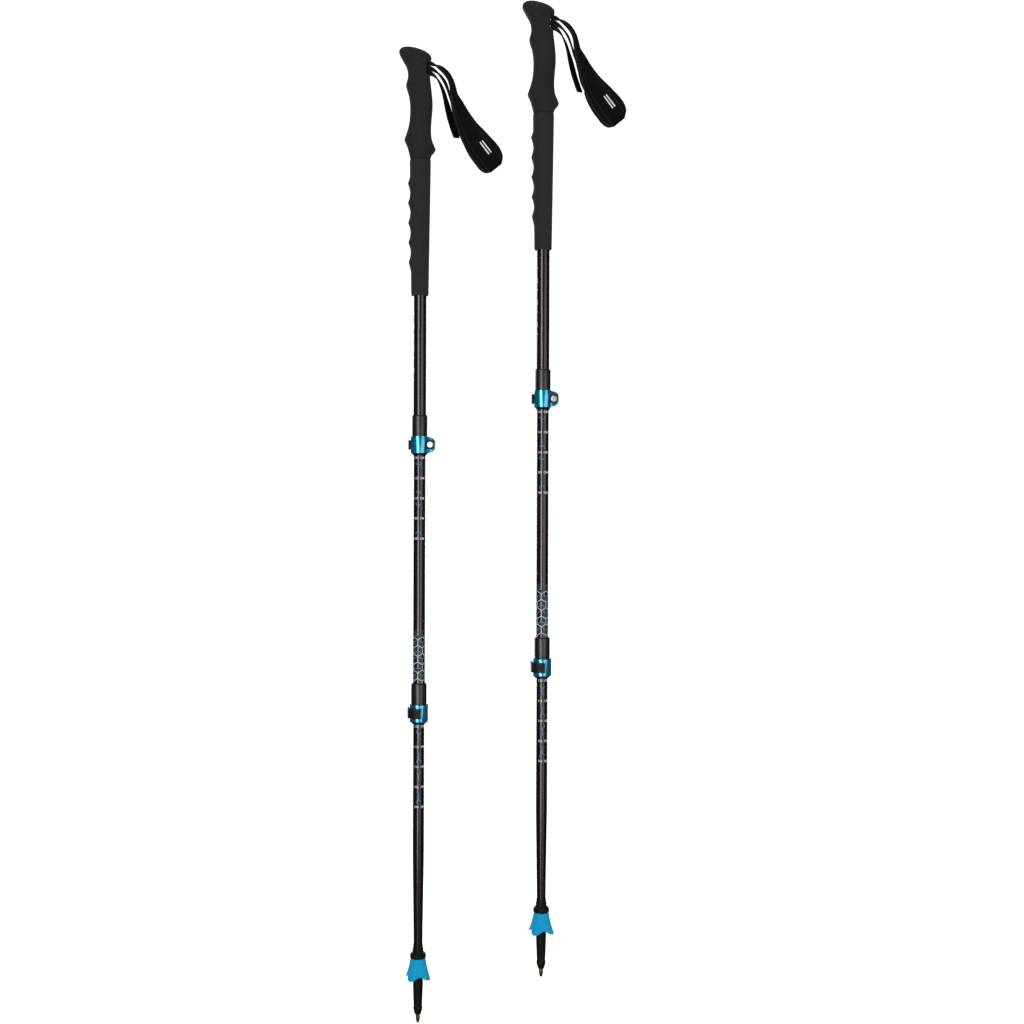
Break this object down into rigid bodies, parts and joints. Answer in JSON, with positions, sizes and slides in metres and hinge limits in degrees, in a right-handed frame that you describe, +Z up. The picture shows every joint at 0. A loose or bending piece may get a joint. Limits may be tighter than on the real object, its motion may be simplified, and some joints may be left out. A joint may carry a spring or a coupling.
{
  "type": "trekking poles",
  "caption": "Pair of telescopic trekking poles with foam grips, padded wrist straps, flip-lever locks, small skirted baskets and hard tips.",
  "frame": {"origin": "centre of the flat end of the left pole's tip", "axes": "+Z up along both shafts, +X from the left pole to the right pole and out of the grips' backs where the straps leave, -X the way the grips' beaks point"},
  "size_m": [0.2797, 0.0377, 1.2557],
  "materials": {
    "grip_foam": "matt foam",
    "sleeve_foam": "matt foam",
    "strap_webbing": "woven webbing",
    "strap_pad": "brushed fabric over a thin pad",
    "strap_plastic": "moulded",
    "shaft": "black anodised, satin, with printed graphics on the two lower tubes",
    "black_plastic": "moulded, fine grain",
    "lever_black": "moulded, satin",
    "clamp_blue": "blue anodised, glossy",
    "basket_plastic": "satin moulded",
    "steel": "bright",
    "tip_alloy": "bronze coloured alloy"
  },
  "bodies": {
    "left_upper_section": {"left_grip_head": "grip_foam", "left_grip_sleeve": "sleeve_foam", "left_strap_pin": "strap_plastic", "left_strap_wedge": "strap_plastic", "left_upper_tube": "shaft", "left_head_plug": "black_plastic", "left_upper_collar": "black_plastic", "left_upper_band": "clamp_blue", "left_upper_barrel_nut": "steel"},
    "left_middle_section": {"left_middle_tube": "shaft", "left_middle_end_plug": "black_plastic", "left_lower_collar": "black_plastic", "left_lower_band": "clamp_blue", "left_lower_barrel_nut": "steel"},
    "left_lower_section": {"left_lower_tube": "shaft", "left_lower_end_plug": "black_plastic", "left_tip_ferrule": "black_plastic", "left_hard_tip": "tip_alloy"},
    "left_basket": {"left_trail_basket": "basket_plastic"},
    "left_strap": {"left_strap_pad": "strap_pad", "left_strap_front_web": "strap_webbing", "left_strap_back_web": "strap_webbing", "left_strap_tail": "strap_webbing"},
    "left_upper_lock_lever": {"left_upper_lever": "lever_black"},
    "left_upper_lock_screw": {"left_upper_tension_screw": "steel", "left_upper_screw_ring": "lever_black"},
    "left_lower_lock_lever": {"left_lower_lever": "lever_black"},
    "left_lower_lock_screw": {"left_lower_tension_screw": "steel", "left_lower_screw_ring": "lever_black"},
    "right_upper_section": {"right_grip_head": "grip_foam", "right_grip_sleeve": "sleeve_foam", "right_strap_pin": "strap_plastic", "right_strap_wedge": "strap_plastic", "right_upper_tube": "shaft", "right_head_plug": "black_plastic", "right_upper_collar": "black_plastic", "right_upper_band": "clamp_blue", "right_upper_barrel_nut": "steel"},
    "right_middle_section": {"right_middle_tube": "shaft", "right_middle_end_plug": "black_plastic", "right_lower_collar": "black_plastic", "right_lower_band": "clamp_blue", "right_lower_barrel_nut": "steel"},
    "right_lower_section": {"right_lower_tube": "shaft", "right_lower_end_plug": "black_plastic", "right_tip_ferrule": "black_plastic", "right_hard_tip": "tip_alloy"},
    "right_basket": {"right_trail_basket": "basket_plastic"},
    "right_strap": {"right_strap_pad": "strap_pad", "right_strap_front_web": "strap_webbing", "right_strap_back_web": "strap_webbing", "right_strap_tail": "strap_webbing"},
    "right_upper_lock_lever": {"right_upper_lever": "lever_black"},
    "right_upper_lock_screw": {"right_upper_tension_screw": "steel", "right_upper_screw_ring": "lever_black"},
    "right_lower_lock_lever": {"right_lower_lever": "lever_black"},
    "right_lower_lock_screw": {"right_lower_tension_screw": "steel", "right_lower_screw_ring": "lever_black"}
  },
  "joints": [
    {"name": "left_middle_slide", "type": "slide", "parent": "left_upper_section", "child": "left_middle_section", "axis": [0, 0, 1], "range_m": [-0.075, 0.279]},
    {"name": "left_lower_slide", "type": "slide", "parent": "left_middle_section", "child": "left_lower_section", "axis": [0, 0, 1], "range_m": [-0.075, 0.27]},
    {"name": "left_basket_slide", "type": "slide", "parent": "left_lower_section", "child": "left_basket", "axis": [0, 0, -1], "range_m": [0, 0.085]},
    {"name": "left_strap_swing", "type": "hinge", "parent": "left_upper_section", "child": "left_strap", "pos_m": [0.0132, 0, 1.1735], "axis": [0, 1, 0], "range_deg": [-18, 12]},
    {"name": "left_upper_lever_hinge", "type": "hinge", "parent": "left_upper_section", "child": "left_upper_lock_lever", "pos_m": [0.0136, 0.0096, 0.7102], "axis": [0, 0, -1], "range_deg": [0, 130]},
    {"name": "left_upper_screw_turn", "type": "hinge", "parent": "left_upper_section", "child": "left_upper_lock_screw", "pos_m": [0.0136, 0, 0.7102], "axis": [0, -1, 0], "range_deg": [-180, 180]},
    {"name": "left_lower_lever_hinge", "type": "hinge", "parent": "left_middle_section", "child": "left_lower_lock_lever", "pos_m": [-0.0096, 0.0136, 0.3803], "axis": [0, 0, -1], "range_deg": [0, 130]},
    {"name": "left_lower_screw_turn", "type": "hinge", "parent": "left_middle_section", "child": "left_lower_lock_screw", "pos_m": [0, 0.0136, 0.3803], "axis": [1, 0, 0], "range_deg": [-180, 180]},
    {"name": "pair_spacing", "type": "slide", "parent": "left_upper_section", "child": "right_upper_section", "axis": [1, 0, 0], "range_m": [0, 0.3]},
    {"name": "right_middle_slide", "type": "slide", "parent": "right_upper_section", "child": "right_middle_section", "axis": [0, 0, 1], "range_m": [-0.075, 0.279]},
    {"name": "right_lower_slide", "type": "slide", "parent": "right_middle_section", "child": "right_lower_section", "axis": [0, 0, 1], "range_m": [-0.075, 0.27]},
    {"name": "right_basket_slide", "type": "slide", "parent": "right_lower_section", "child": "right_basket", "axis": [0, 0, -1], "range_m": [0, 0.085]},
    {"name": "right_strap_swing", "type": "hinge", "parent": "right_upper_section", "child": "right_strap", "pos_m": [0.1646, 0, 1.2303], "axis": [0, 1, 0], "range_deg": [-18, 12]},
    {"name": "right_upper_lever_hinge", "type": "hinge", "parent": "right_upper_section", "child": "right_upper_lock_lever", "pos_m": [0.165, 0.0096, 0.767], "axis": [0, 0, -1], "range_deg": [0, 130]},
    {"name": "right_upper_screw_turn", "type": "hinge", "parent": "right_upper_section", "child": "right_upper_lock_screw", "pos_m": [0.165, 0, 0.767], "axis": [0, -1, 0], "range_deg": [-180, 180]},
    {"name": "right_lower_lever_hinge", "type": "hinge", "parent": "right_middle_section", "child": "right_lower_lock_lever", "pos_m": [0.1418, 0.0136, 0.4371], "axis": [0, 0, -1], "range_deg": [0, 130]},
    {"name": "right_lower_screw_turn", "type": "hinge", "parent": "right_middle_section", "child": "right_lower_lock_screw", "pos_m": [0.1514, 0.0136, 0.4371], "axis": [1, 0, 0], "range_deg": [-180, 180]}
  ]
}
